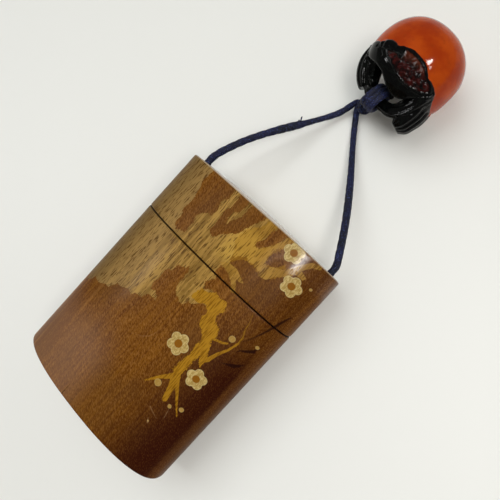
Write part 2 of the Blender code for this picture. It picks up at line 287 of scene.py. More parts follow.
def alongLine(x, y, line):  # a line is rows of x, y and half width
    best = np.full(x.shape, -1e9)
    for (ax, ay, aw), (bx, by, bw) in zip(line, line[1:]):
        dx, dy = bx - ax, by - ay
        share = np.clip(((x - ax) * dx + (y - ay) * dy) / (dx * dx + dy * dy), 0, 1)
        gap = np.hypot(x - ax - share * dx, y - ay - share * dy)
        best = np.maximum(best, aw + (bw - aw) * share - gap)
    return best


def inAny(x, y, outlines):
    return np.max([inOutline(x, y, outline) for outline in outlines], axis=0)


def alongAny(x, y, lines):
    return np.max([alongLine(x, y, line) for line in lines], axis=0)


def inDots(x, y, dots):  # a dot is x, y and radius
    return np.max([radius - np.hypot(x - cx, y - cy) for cx, cy, radius in dots], axis=0)


# Camera: close above the case, leaning over from its right side
camera = dict(place=(51.4, 34.7, 156.2), turn=(10.88, 15.25, 44.17), lens=36.07, sensor=36.0, near=10.0)


def makeCamera():
    data = bpy.data.cameras.new("photo_camera")
    data.lens = camera["lens"]
    data.sensor_width = camera["sensor"]
    data.clip_start = camera["near"] * mm
    item = addItem("photo_camera", data)
    item.location = Vector(camera["place"]) * mm
    item.rotation_euler = [math.radians(angle) for angle in camera["turn"]]
    bpy.context.scene.camera = item


# Toggle's own frame: x across, y away from the case, z up, from the middle of its dome
toggle = dict(middle=(3.6, 100.1, 13.2), half=(13.9, 13.2, 13.5), turn=math.radians(10), power=2.2, foot=0.3)


def fromToggle(points):
    points = np.atleast_2d(np.asarray(points, dtype=float))
    across, along = math.cos(toggle["turn"]), math.sin(toggle["turn"])
    turned = np.column_stack([points[:, 0] * across + points[:, 1] * along,
                              points[:, 1] * across - points[:, 0] * along, points[:, 2]])
    return turned + np.array(toggle["middle"])


def toggleShare(*share):
    return np.array(share) * np.array(toggle["half"])


# Silk cord: two strands from the lid's holes to the knot, with tufts on one of them
silk = dict(hole=26.4, radius=1.1, plaits=4, pitch=3.4, depth=0.10, valley=-0.4, spacing=0.25, phase=0.7,
            sharpAngle=60, blue=(paint(4, 9, 30), paint(6, 11, 50)), paintedGlint=paint(70, 88, 148),
            hollow=paint(5, 6, 16))
strands = {
    "left_strand": dict(
        node="cord_left", end=(-2.2, -1.3, -0.2),
        tufts=[(32.0, 4.2, 1.2), (33.4, 3.9, 1.7), (26.4, 4.4, 0.8), (29.5, 4.9, 0.8)],
        radii=(1.24, 1.22, 1.20, 1.16, 1.14, 1.18, 1.34, 1.36, 0.98, 0.92, 1.04, 1.04, 0.98),
        route=[(-26.4, 38.5, 13.7), (-26.2, 41.8, 13.9), (-24.8, 46.2, 13.6), (-22.1, 53.3, 12.0),
               (-18.6, 61.1, 9.1), (-13.6, 71.2, 4.6), (-9.3, 79.6, 2.1)]),
    "right_strand": dict(
        node="cord_right", end=(-0.5, -2.4, -0.9), tufts=[],
        radii=(1.14, 1.16, 1.18, 1.22, 1.18, 1.04, 0.96, 0.98, 1.04),
        route=[(26.4, 38.5, 13.7), (26.2, 41.4, 13.9), (24.3, 44.8, 13.2), (20.2, 51.0, 10.6),
               (15.5, 57.4, 7.8), (9.8, 64.6, 4.8), (4.0, 71.6, 2.7), (-0.8, 77.6, 1.5)]),
}
tuft = dict(radii=(0.28, 0.2, 0.12), root=0.95, run=1.1, curl=0.4, sweep=2.4)
# The knot is three turns round the toggle's bar, then wraps (place, size, tilt) round a filled core.
# Its low, high and bar are shares of the toggle's half sizes.
knot = dict(low=(-0.42, -1.12, -0.735), high=(-0.17, -1.25, -0.42), runIn=1.6,
            bar=(-0.07, -13.3 / toggle["half"][1], -1.5 / toggle["half"][2]), barBend=0.39,
            barHalf=(2.1, 3.6), gap=0.3, spacing=1.45, lean=(0.25, -0.32), turnRadius=1.02,
            wraps=[(-1.9, 1.15, 0.25), (-0.1, 1.5, -0.35), (1.8, 1.35, 0.4)], wrapRadius=0.9,
            core=(2.0, 2.0, 3.6))


def frames(path, closed=False):  # two directions square to the path at each point
    path = np.asarray(path)
    if closed:
        ahead = np.roll(path, -1, axis=0) - np.roll(path, 1, axis=0)
    else:
        ahead = np.gradient(path, axis=0)
    ahead /= np.linalg.norm(ahead, axis=1)[:, None]
    side = np.cross(ahead[0], (0.31, 0.2, 0.93))  # any direction that no strand starts along
    sides = []
    for direction in ahead:
        side = side - direction * side.dot(direction)
        side /= np.linalg.norm(side)
        sides.append(side)
    sides = np.array(sides)
    return sides, np.cross(ahead, sides)


def braided(name, path, radii, around=28, closed=False, phase=0.0):
    path = np.asarray(path)
    sides, ups = frames(path, closed)
    along = distances(path)
    radii = np.interp(along / along[-1], np.linspace(0, 1, len(radii)), radii)
    angle = turnSteps(around)
    plait = silk["plaits"] * angle
    rings = []
    for place, side, up, distance, radius in zip(path, sides, ups, along, radii):
        twist = distance * 2 * math.pi / silk["pitch"] + phase
        over = np.maximum(np.cos(plait + twist), np.cos(plait - twist)).clip(silk["valley"], 1.0)
        ring = radius * (1 - silk["depth"] + silk["depth"] * over)
        rings.append(place + np.outer(np.cos(angle) * ring, side) + np.outer(np.sin(angle) * ring, up))
    if closed:
        points, faces = skin(rings)
        last = (len(rings) - 1) * around
        faces += [(last + i, last + (i + 1) % around, (i + 1) % around, i) for i in range(around)]
    else:
        points, faces = skin(rings, path[0], path[-1])
    return makeMesh(name, points, faces, silk["sharpAngle"])


def makeTuft(path, place, turn, reach):  # a loose thread: its place along the cord, turn round it, and reach
    sides, ups = frames(path)
    i = int(np.searchsorted(distances(path), place))
    out = sides[i] * math.cos(turn) + ups[i] * math.sin(turn)
    ahead = (path[i + 1] - path[i]) / np.linalg.norm(path[i + 1] - path[i])
    arc = []
    for t in np.linspace(0.0, tuft["sweep"], 12):
        onward, off = tuft["run"] * t - tuft["curl"] * t * t, tuft["root"] + reach * math.sin(t)
        arc.append(path[i] + ahead * onward + out * off)
    return braided("tuft", arc, tuft["radii"], around=10)


def makeStrand(name, strand, low, finish):
    last = low + np.array(strand["end"])
    inward = (low - last) / np.linalg.norm(low - last)
    path = smoothRows(strand["route"] + [last, last + inward * knot["runIn"]], silk["spacing"])
    item = braided(name, path, strand["radii"], phase=silk["phase"])
    if strand["tufts"]:
        item = joined(name, [item] + [makeTuft(path, *row) for row in strand["tufts"]])
        smooth(item, silk["sharpAngle"])
    dress(item, finish, "silk_cord", strand["node"])
    return item, path


def barTurn(shift, count=72):  # a closed turn of cord round the toggle's bar
    low, high = knot["barHalf"]
    reach = silk["radius"] + knot["gap"]
    angle = turnSteps(count)
    up = (high + reach) * rounded(np.sin(angle))
    along = (low + reach) * rounded(np.cos(angle)) + knot["lean"][1] * up
    across = knot["bar"][0] + shift / toggle["half"][0]
    middle = toggleShare(across, knot["bar"][1] + knot["barBend"] * across ** 2, knot["bar"][2])
    return fromToggle(middle + np.column_stack([knot["lean"][0] * up, along, up]))


def makeKnot(low, finish):
    pieces = [braided("turn", barTurn(shift), (knot["turnRadius"],) * 2, closed=True, phase=shift)
              for shift in (-knot["spacing"], 0.0, knot["spacing"])]
    high = fromToggle(toggleShare(*knot["high"]))[0]
    middle, axis = (low + high) / 2, (high - low) / np.linalg.norm(high - low)
    side = np.cross(axis, (0, 0, 1))
    side /= np.linalg.norm(side)
    up = np.cross(side, axis)
    for place, size, tilt in knot["wraps"]:
        ring = [middle + axis * (place + tilt * math.cos(a)) + (side * math.cos(a) + up * math.sin(a)) * size
                for a in turnSteps(48)]
        pieces.append(braided("wrap", ring, (knot["wrapRadius"],) * 2, closed=True, phase=place))
    work = bmesh.new()
    wide, thick, long = knot["core"]
    for vert in bmesh.ops.create_uvsphere(work, u_segments=32, v_segments=20, radius=1.0)["verts"]:
        spot = middle + side * vert.co.x * wide + up * vert.co.y * thick + axis * vert.co.z * long
        vert.co = Vector(spot) * mm
    item = joined("knot", pieces + [fromWork("core", work)])
    smooth(item, silk["sharpAngle"])
    dress(item, finish, "silk_cord", "cord_knot")
    return item


def silkFinish():
    finish = Finish("silk_cord")
    spot = finish.place()
    threads = finish.noise(spot, 2.9, 4, 0.65)
    patches = finish.noise(spot, 0.16, 2)
    colour = finish.blend(finish.step(patches, 0.38, 0.62), *silk["blue"])
    # painted glints: bright specks where the threads noise is high
    colour = finish.blend(finish.step(threads, 0.57, 0.66) * 0.9, colour, silk["paintedGlint"])
    # painted shade: near-black spots stand for the hollows between the threads
    colour = finish.blend(finish.step(threads, 0.48, 0.30), colour, silk["hollow"])
    height = finish.noise(spot, 4.2, 3, 0.6)
    finish.put(Base_Color=colour, Roughness=0.7, Specular_IOR_Level=0.2, Sheen_Weight=0.05,
               Sheen_Roughness=0.4, Normal=finish.bump(height, 0.18, 0.8))
    return finish


def makeCords():
    finish = silkFinish()
    low = fromToggle(toggleShare(*knot["low"]))[0]
    runs = [makeStrand(name, strand, low, finish) for name, strand in strands.items()]
    tied = makeKnot(low, finish)
    for item, path in runs:
        tuple(path[0] * mm)
        2 * silk["radius"] * mm
        [tuple(row) for row in path * mm]
    for node in bpy.data.objects:  # the cord inside the case keeps its plain solid, in silk
        if node.name.startswith("cord_held"):
            node.material_slots[0].material = finish.material


# Case: an oval section, swept along Y and rounded at its ends
case = dict(halfWidth=30.0, halfThick=14.0, middle=13.7, power=2.35, bottom=-38.5, rim=38.5,
            lidEdge=17.55, seam=0.28, edge=0.25, rimRound=0.6, bottomRound=0.9, lidDome=1.2, bottomDome=0.8,
            riserHeight=6.0, lidWall=2.4, floorWall=5.2, channel=1.5, groove=2.6, recess=(23.2, 12.2),
            riser=(22.9, 11.9), cavity=(21.6, 10.6), front=236, back=84, inlayFrom=-27.0, spacing=0.3,
            domeShares=(0.15, 0.3, 0.45, 0.6, 0.72, 0.83, 0.92, 0.97), edgeShare=0.3, corner=(0.3, 1.0))


def ovalDirections():  # front and back count the points of a ring, dense where the inlay is
    t = np.linspace(0, 2 * math.pi, 40001)
    c = np.sign(np.cos(t)) * np.abs(np.cos(t)) ** (2 / case["power"])
    s = np.sign(np.sin(t)) * np.abs(np.sin(t)) ** (2 / case["power"])
    x, z = case["halfWidth"] * c, case["halfThick"] * s
    steps = np.hypot(np.diff(x), np.diff(z))
    front = t[1:] <= math.pi
    weight = np.where(front, steps / steps[front].sum() * case["front"],
                      steps / steps[~front].sum() * case["back"])
    marks = np.concatenate(([0.0], np.cumsum(weight)))
    count = case["front"] + case["back"]
    at = np.interp(np.arange(count) + 0.5, marks, np.arange(len(marks)))
    return np.interp(at, np.arange(len(t)), c), np.interp(at, np.arange(len(t)), s)


caseAcross, caseUp = ovalDirections()


def ovalRing(size, y):
    z = np.maximum(case["middle"] + size[1] * caseUp, 0.0)
    return np.column_stack([size[0] * caseAcross, np.full(len(z), y), z])


def inset(amount):
    return (case["halfWidth"] - amount, case["halfThick"] - amount)


def domedEnd(rim, rise, roundSize, outward):
    wide, thick = inset(roundSize)
    rings = [ovalRing((wide * share, thick * share), rim + outward * rise * (1 - share ** 2))
             for share in case["domeShares"]]
    for angle in np.radians(np.linspace(0, 90, 7)):
        size = inset(roundSize * (1 - math.sin(angle)))
        rings.append(ovalRing(size, rim - outward * roundSize * (1 - math.cos(angle))))
    return rings


def sideRows(start, end, spacing):
    return list(np.linspace(start, end, max(2, round(abs(end - start) / spacing) + 1)))


def softEdge(y, inward):  # the rounded rim at the seam
    edge, share = case["edge"], case["edgeShare"]
    return [ovalRing(inset(edge * share), y + inward * edge * share), ovalRing(inset(edge), y)]


def softCorner(size, y, inward):  # where the hollow's wall meets its floor or ceiling
    near, far = case["corner"]
    return [ovalRing(size, y + inward * far), ovalRing(size - near, y + inward * near),
            ovalRing(size - far, y)]


def channelRod(x, around=32, reach=60.0):
    angle = (np.arange(around) + 0.5) * 2 * math.pi / around
    rings = [np.column_stack([x + case["channel"] * np.cos(angle), np.full(around, y),
                              case["middle"] + case["channel"] * np.sin(angle)]) for y in (-reach, reach)]
    points, faces = skin(rings, (x, -reach, case["middle"]), (x, reach, case["middle"]))
    return makeMesh("rod", points, faces)


def grooveBlock():
    reach = silk["hole"] + case["channel"] * 0.6
    low, high = case["bottom"] - 3.0, case["bottom"] + case["groove"]
    under, over = case["middle"] - case["channel"], case["middle"] + case["channel"]
    rings = [[(-reach, y, under), (reach, y, under), (reach, y, over), (-reach, y, over)]
             for y in (low, high)]
    points, faces = skin(rings)
    return makeMesh("block", points, faces + [(0, 1, 2, 3), (4, 5, 6, 7)])


def makeBody():
    rings = domedEnd(case["bottom"], case["bottomDome"], case["bottomRound"], -1)
    top, edge = case["lidEdge"] - case["seam"], case["edge"]
    rows = sideRows(case["bottom"] + case["bottomRound"], case["inlayFrom"], 1.0)[1:]
    rows += sideRows(case["inlayFrom"], top - edge, case["spacing"])[1:]
    rings += [ovalRing(inset(0), y) for y in rows]
    rings += softEdge(top, -1)
    riser, cavity = np.array(case["riser"]), np.array(case["cavity"])
    riserTop, floor = top + case["riserHeight"], case["bottom"] + case["floorWall"]
    rings += [ovalRing(riser, top), ovalRing(riser, riserTop - edge), ovalRing(riser - edge, riserTop),
              ovalRing(cavity + edge, riserTop), ovalRing(cavity, riserTop - edge)]
    rings += softCorner(cavity, floor, 1)
    tips = [(0, case["bottom"] - case["bottomDome"], case["middle"]), (0, floor, case["middle"])]
    body = makeMesh("body", *skin(rings, *tips))
    for cutter in (channelRod(-silk["hole"]), channelRod(silk["hole"]), grooveBlock()):
        cut(body, cutter)
    return body


def makeLid():
    rings = domedEnd(case["rim"], case["lidDome"], case["rimRound"], 1)
    low, edge = case["lidEdge"], case["edge"]
    rows = sideRows(case["rim"] - case["rimRound"], low + edge, case["spacing"])[1:]
    rings += [ovalRing(inset(0), y) for y in rows]
    rings += softEdge(low, 1)
    recess, ceiling = np.array(case["recess"]), case["rim"] - case["lidWall"]
    rings += [ovalRing(recess + edge, low), ovalRing(recess, low + edge)] + softCorner(recess, ceiling, -1)
    tips = [(0, case["rim"] + case["lidDome"], case["middle"]), (0, ceiling, case["middle"])]
    lid = makeMesh("lid", *skin(rings, *tips))
    for cutter in (channelRod(-silk["hole"]), channelRod(silk["hole"])):
        cut(lid, cutter)
    return lid


# Inlaid plum tree over the case's front: x across, y towards the lid. Lines have a half width, and
# goldAreas and branchAreas are painted over the trunk's pale wood. groundGaps are left out of trunk and gold.
trunkArea = [(-29.8, 38.6), (-29.8, -11.0), (-27.5, -10.5), (-26.3, -12.0), (-24.6, -11.0), (-23.8, -9.4),
             (-21.4, -9.6), (-20.0, -8.5), (-17.4, -7.8), (-16.2, -6.6), (-15.4, -5.0), (-13.0, -4.4),
             (-11.4, -3.6), (-9.6, -3.9), (-8.0, -2.4), (-6.0, -2.0), (-5.0, 0.2), (-2.6, 0.5), (-3.0, 1.6),
             (-5.8, 1.8), (-6.6, 3.4), (-6.3, 8.0), (-5.0, 9.6), (-4.2, 12.0), (-2.4, 12.4), (-1.5, 14.0),
             (-0.6, 12.4), (-0.6, 9.0), (0.2, 6.6), (1.6, 5.4), (4.4, 4.8), (5.2, 6.5), (6.6, 7.2),
             (8.2, 8.8), (10.4, 9.8), (11.2, 12.0), (9.0, 13.8), (6.2, 12.2), (5.2, 14.2), (6.6, 16.6),
             (5.2, 18.2), (5.2, 20.2), (6.8, 21.4), (6.0, 23.4), (6.8, 25.4), (9.2, 26.2), (11.6, 26.4),
             (15.5, 25.6), (16.8, 27.4), (14.2, 28.8), (13.0, 30.6), (14.0, 33.8), (15.8, 38.6)]
groundGaps = [
    [(-16.5, 38.7), (-17.2, 34.0), (-15.4, 30.0), (-15.2, 27.2), (-15.8, 24.4), (-14.2, 22.0),
     (-14.8, 20.2), (-12.8, 18.6), (-10.4, 19.6), (-9.8, 23.0), (-10.6, 25.6), (-9.0, 27.6), (-7.4, 28.2),
     (-6.8, 30.6), (-7.8, 33.0), (-6.4, 35.0), (-6.6, 38.7)],
    [(-4.4, 38.7), (-3.8, 34.4), (-5.1, 31.5), (-4.4, 28.0), (-4.6, 25.0), (-2.5, 24.3), (-0.6, 26.2),
     (1.4, 28.6), (2.8, 30.6), (3.8, 33.0), (4.8, 35.0), (6.2, 38.7), (0.6, 38.7), (0.2, 35.0),
     (-0.9, 31.8), (-1.8, 29.6), (-2.8, 30.4), (-2.4, 33.0), (-0.9, 34.6), (-1.2, 38.7)],
    [(10.3, 38.9), (9.5, 36.3), (8.9, 32.8), (8.4, 30.6), (9.8, 30.3), (11.4, 32.5), (13.1, 35.5),
     (14.1, 38.9)],
    [(13.8, 29.2), (13.5, 31.1), (14.3, 33.4), (16.2, 34.0), (17.6, 33.2), (17.7, 31.5), (16.6, 29.6),
     (14.9, 28.8)],
]
goldAreas = [
    [(6.2, 22.0), (5.4, 25.0), (3.2, 28.0), (3.6, 32.0), (6.8, 36.0), (7.0, 38.7), (15.8, 38.7),
     (14.6, 34.2), (16.2, 33.6), (18.8, 31.4), (17.4, 29.4), (19.4, 29.0), (18.0, 26.8), (15.6, 25.2),
     (11.2, 26.0), (8.6, 25.6)],
    [(4.4, 8.0), (5.6, 12.0), (8.0, 12.5), (9.2, 14.0), (11.2, 13.4), (13.2, 14.2), (14.6, 11.8),
     (13.6, 9.6), (14.4, 8.0), (16.4, 7.4), (17.6, 5.4), (17.2, 3.4), (18.7, 0.4), (19.7, -1.2),
     (19.6, -4.0), (18.4, -3.6), (17.6, -1.6), (17.2, -4.0), (17.4, -7.2), (16.9, -10.6), (14.5, -9.6),
     (14.8, -6.8), (15.3, -3.0), (14.7, -0.4), (15.1, 1.8), (13.4, 3.6), (11.4, 4.8), (10.8, 6.6),
     (11.4, 8.2), (9.6, 9.6), (7.0, 8.4)],
]
branchAreas = [
    [(4.2, 20.4), (5.0, 21.4), (6.6, 22.2), (9.2, 22.4), (12.0, 21.3), (13.2, 20.8), (12.2, 20.2),
     (10.9, 20.3), (11.9, 19.1), (13.3, 17.1), (12.0, 16.8), (10.5, 18.6), (8.5, 19.8), (6.6, 20.3)],
    [(14.0, 27.3), (15.8, 29.3), (18.4, 30.7), (19.8, 32.7), (20.9, 34.9), (22.6, 37.3), (25.1, 38.6),
     (25.5, 37.4), (23.5, 36.3), (22.1, 33.9), (24.2, 33.1), (24.0, 32.1), (21.7, 32.0), (20.2, 29.8),
     (18.1, 27.9), (16.9, 25.6), (14.7, 25.0)],
]
twigs = [
    [(16.4, -10.2, 0.9), (13.6, -13.4, 0.45), (11.1, -17.1, 0.2)],
    [(16.6, -10.2, 1.2), (17.6, -13.6, 0.85), (18.4, -17.0, 0.7)],
    [(17.0, -10.4, 0.8), (19.8, -13.6, 0.42), (22.6, -17.2, 0.22), (23.8, -18.6, 0.12)],
    [(18.6, -2.0, 0.8), (19.7, -1.2, 0.6), (20.7, 2.0, 0.42), (21.9, 4.6, 0.32), (22.7, 7.7, 0.28),
     (22.6, 9.8, 0.22), (21.6, 11.8, 0.2), (21.2, 14.3, 0.16), (20.5, 16.3, 0.1)],
    [(17.4, 4.3, 0.35), (19.5, 5.0, 0.3), (20.8, 5.9, 0.22)],
]
darkMarks = [
    [(22.6, 8.6, 0.05), (23.7, 9.7, 0.10), (25.4, 14.0, 0.20), (26.5, 17.7, 0.32), (27.1, 20.2, 0.28),
     (27.8, 22.4, 0.08)],
    [(23.6, 5.6, 0.05), (24.4, 6.8, 0.20), (25.6, 7.6, 0.38), (26.7, 8.6, 0.45), (26.9, 9.5, 0.15)],
    [(22.6, 0.6, 0.05), (23.9, 1.4, 0.20), (25.5, 2.1, 0.52), (26.7, 3.3, 0.25), (27.4, 4.4, 0.05)],
    [(-4.5, -38.4, 0.14), (-4.4, -36.1, 0.12), (-4.5, -34.0, 0.04)],
]
lightMarks = [
    [(16.8, -21.2, 0.14), (18.4, -21.9, 0.12), (20.4, -22.6, 0.04)],
    [(21.7, -21.7, 0.05), (21.3, -19.9, 0.12), (21.0, -18.3, 0.08)],
    [(18.4, -23.8, 0.06), (19.2, -25.0, 0.24)],
    [(-0.6, -10.7, 0.04), (2.0, -9.4, 0.10), (3.7, -7.7, 0.12), (4.4, -5.5, 0.10), (4.3, -3.3, 0.04)],
    [(-9.0, -27.0, 0.04), (-7.4, -25.6, 0.10), (-6.6, -24.4, 0.04)],
]
# A flower is x, y, size and turn, its parts are shares of its size, and a bud is x, y and radius
flower = dict(petals=5, ring=0.56, petal=0.43, middle=0.5, heart=0.35)
flowers = [(22.8, 28.9, 3.0, 0.2), (17.6, 36.0, 3.0, 0.7), (11.1, -3.4, 3.3, 0.1),
           (20.9, -7.15, 2.95, 0.5)]
buds = [(14.1, -15.0, 1.0), (20.6, -17.6, 0.55), (23.4, -16.3, 0.65), (20.8, 7.6, 0.9), (26.8, 10.2, 0.5),
        (26.8, 31.7, 0.4), (19.0, -24.6, 0.3)]


def flowerDots():
    dots = []
    for x, y, size, turn in flowers:
        dots.append((x, y, flower["middle"] * size))
        for angle in turn + turnSteps(flower["petals"]):
            reach = flower["ring"] * size
            dots.append((x + reach * math.cos(angle), y + reach * math.sin(angle), flower["petal"] * size))
    return dots


def inlay(item):  # stores how deep each point of the front lies inside each inlaid area
    x, y, z = (vertexRows(item, "co") / mm).T
    oval = np.abs(x / case["halfWidth"]) ** case["power"]
    oval += np.abs((z - case["middle"]) / case["halfThick"]) ** case["power"]
    front = (oval > 0.96) & (z > case["middle"])
    x, y = np.where(front, x, 99.0), np.where(front, y, 99.0)
    gaps = inAny(x, y, groundGaps)
    hearts = [(cx, cy, flower["heart"] * size) for cx, cy, size, turn in flowers]
    areas = dict(trunk=np.minimum(inOutline(x, y, trunkArea), -gaps),
                 gold=np.minimum(inAny(x, y, goldAreas), -gaps), branch=inAny(x, y, branchAreas),
                 twig=alongAny(x, y, twigs), petal=inDots(x, y, flowerDots() + buds),
                 heart=inDots(x, y, hearts), bud=inDots(x, y, buds), darkMark=alongAny(x, y, darkMarks),
                 lightMark=alongAny(x, y, lightMarks))
    for name, numbers in areas.items():
        store(item, name, numbers)


# Wood: the case's brown ground. Zones run from where they start to where they are full, across or along.
wood = dict(plain=(paint(96, 54, 8), paint(119, 73, 16)), fleck=paint(166, 116, 58), pit=paint(62, 28, 4),
            cloud=paint(92, 60, 26), line=paint(152, 106, 56), lineGap=paint(84, 44, 14),
            leftSide=(-15.0, -24.0), shade=paint(42, 7, 2), shadeZone=(7.0, 28.0), shadeSlant=0.08,
            shadeFleck=paint(120, 72, 30), rightEdge=(27.4, 29.0), upperShade=(-2.0, 14.0),
            paintedSheen=paint(160, 128, 108), paintedSheenAcross=(4.0, -8.0), paintedSheenAlong=(-10.0, -26.0),
            seam=paint(24, 8, 10), seamShade=(0.34, 0.2), end=paint(186, 164, 130), endZone=(-0.45, -0.1),
            endCoat=0.85, coat=0.008, glare=0.45, glareAcross=(14.5, 17.5), glareAlong=(30.0, 34.0))
# Inlaid woods: the trunk is pale in its middle, dull at the left and bright on the lid
inlaid = dict(trunk=(paint(126, 94, 40), paint(164, 127, 62)), pores=paint(80, 50, 16),
              dull=paint(146, 116, 70), dullZone=(-10.0, -16.0), dark=paint(104, 80, 44),
              darkZone=(-18.0, -25.0), bright=paint(190, 150, 66),
              brightAcross=((-1.0, 4.0), (13.0, 9.0)), brightAlong=((20.0, 24.0), (35.0, 31.0)),
              gold=(paint(164, 118, 26), paint(126, 84, 10)), lidStart=(17.0, 17.8), lidGold=0.55,
              faintTwig=(4.0, 12.0), petal=(paint(158, 130, 70), paint(192, 168, 108)),
              petalRim=paint(200, 180, 124), bud=paint(156, 120, 54), heart=paint(130, 82, 16),
              darkMark=paint(28, 6, 3), lightMark=paint(180, 140, 96))


def plainWood(finish, across, along, grain, fleck):
    ground = finish.blend(finish.step(grain, 0.36, 0.64), *wood["plain"])
    ground = finish.blend(finish.step(fleck, 0.50, 0.62) * 0.38, ground, wood["fleck"])
    ground = finish.blend(finish.step(fleck, 0.48, 0.36) * 0.55, ground, wood["pit"])
    clouds = finish.noise(finish.place(), 0.05, 2)
    ground = finish.blend(finish.step(clouds, 0.42, 0.62) * 0.35, ground, wood["cloud"])
    lines = finish.noise(finish.place((0.5, 0.02, 0.5)), 1.0, 3, 0.6)
    side = finish.step(across, *wood["leftSide"])
    ground = finish.blend(finish.step(lines, 0.50, 0.60) * side * 0.6, ground, wood["line"])
    ground = finish.blend(finish.step(lines, 0.48, 0.40) * side * 0.5, ground, wood["lineGap"])
    # painted shade: the right side is painted dark maroon, less so at its rolled right edge and towards the
    # lid
    shade = finish.step(across - along * wood["shadeSlant"], *wood["shadeZone"])
    shade = shade * (1 - finish.step(across, *wood["rightEdge"]) * 0.5)
    shade = shade * (1 - finish.step(along, *wood["upperShade"]) * 0.45)
    ground = finish.blend(shade * 0.93, ground, wood["shade"])
    ground = finish.blend(finish.step(fleck, 0.52, 0.62) * shade * 0.14, ground, wood["shadeFleck"])
    # painted sheen: the lower left of the wood is blended towards a pale pinkish grey
    paintedSheen = finish.step(across, *wood["paintedSheenAcross"]) * finish.step(along, *wood["paintedSheenAlong"])
    return finish.blend(paintedSheen * 0.26, ground, wood["paintedSheen"])


def trunkWood(finish, across, along, pores):
    streaks = finish.noise(finish.place((0.9, 0.05, 0.9)), 1.0, 3, 0.5)
    trunk = finish.blend(finish.step(streaks, 0.38, 0.62), *inlaid["trunk"])
    trunk = finish.blend(finish.step(across, *inlaid["dullZone"]) * 0.7, trunk, inlaid["dull"])
    trunk = finish.blend(finish.step(across, *inlaid["darkZone"]) * 0.7, trunk, inlaid["dark"])
    bright = 0.75
    for distance, zones in ((across, inlaid["brightAcross"]), (along, inlaid["brightAlong"])):
        for zone in zones:
            bright = bright * finish.step(distance, *zone)
    trunk = finish.blend(bright, trunk, inlaid["bright"])
    return finish.blend(finish.step(pores, 0.53, 0.63) * 0.85, trunk, inlaid["pores"])


def petalWood(finish):
    veins = finish.noise(finish.place((1.2, 0.5, 1.2)), 2.2, 3, 0.6)
    petals = finish.blend(finish.step(veins, 0.42, 0.62), *inlaid["petal"])
    petals = finish.blend(finish.step(finish.read("petal"), 0.30, 0.05) * 0.6, petals, inlaid["petalRim"])
    return finish.blend(finish.inside(finish.read("bud")) * 0.8, petals, inlaid["bud"])


def woodFinish():
    finish = Finish("wood")
    across, along = finish.axis("X"), finish.axis("Y")
    grain = finish.noise(finish.place((1.3, 0.07, 1.3)), 1.0, 4, 0.6)
    fleck = finish.noise(finish.place((1.0, 0.28, 1.0), 0.72), 3.9, 3, 0.65)
    pores = finish.noise(finish.place((3.0, 0.36, 3.0)), 1.0, 2, 0.5)
    ground = plainWood(finish, across, along, grain, fleck)
    trunk = trunkWood(finish, across, along, pores)
    gold = finish.blend(finish.step(pores, 0.42, 0.64), *inlaid["gold"])

    # the areas' edges wander by these amounts
    fray = (finish.noise(finish.place((1.0, 0.6, 1.0)), 2.6, 3, 0.65) - 0.5) * 1.1
    ragged = (finish.noise(finish.place((1.0, 0.35, 1.0)), 0.9, 3, 0.6) - 0.5) * 2.2
    wavy = (finish.noise(finish.place(), 0.9, 3, 0.6) - 0.5) * 1.2

    trunkHere = finish.inside(finish.read("trunk") + ragged + fray)
    goldHere = finish.inside(finish.read("gold") + wavy + fray)
    branchHere = finish.inside(finish.read("branch") + fray * 0.35)
    twigHere = finish.inside(finish.read("twig") + wavy * 0.2 + fray * 0.25)
    onLid = finish.step(along, *inlaid["lidStart"])
    faint = finish.step(along, *inlaid["faintTwig"])
    colour = finish.blend(trunkHere, ground, trunk)
    colour = finish.blend(goldHere * (1 - onLid * inlaid["lidGold"]), colour, gold)
    colour = finish.blend(branchHere * 0.9, colour, finish.blend(0.35, trunk, gold))
    colour = finish.blend(twigHere * (0.85 - faint * 0.4), colour, gold)
    colour = finish.blend(finish.inside(finish.read("petal") + wavy * 0.15), colour, petalWood(finish))
    colour = finish.blend(finish.inside(finish.read("heart")), colour, inlaid["heart"])
    darkHere = finish.step(finish.read("darkMark") + fray * 0.3, -0.20, 0.16)
    colour = finish.blend(darkHere * 0.85, colour, inlaid["darkMark"])
    lightHere = finish.step(finish.read("lightMark") + fray * 0.1, -0.12, 0.10)
    colour = finish.blend(lightHere * 0.25, colour, inlaid["lightMark"])

    # painted shade: the wood is darkened along the seam between body and lid
    fromSeam = (along - (case["lidEdge"] - case["seam"] / 2)).maths("ABSOLUTE")
    colour = finish.blend(finish.step(fromSeam, *wood["seamShade"]) * 0.7, colour, wood["seam"])
    # painted light: the lid's far end is painted pale where its rim catches the light, and it gets a strong
    # coat
    end = finish.step(along, *(case["rim"] + distance for distance in wood["endZone"]))
    colour = finish.blend(end * 0.65, colour, wood["end"])
    glare = finish.step(across, *wood["glareAcross"]) * finish.step(along, *wood["glareAlong"])
    glare = glare * finish.step(fleck, 0.38, 0.52) * wood["glare"]
    finish.put(Base_Color=colour, Roughness=0.36, Specular_IOR_Level=0.025,
               Coat_Weight=end * wood["endCoat"] + (glare + wood["coat"]), Coat_Roughness=0.14,
               Normal=finish.bump(grain + fleck * 0.6, 0.06, 0.6))
    return finish


def makeCase():
    finish = woodFinish()
    for item, node in ((makeBody(), "case_body"), (makeLid(), "case_lid")):
        smooth(item)
        inlay(item)
        dress(item, finish, "wood", node)


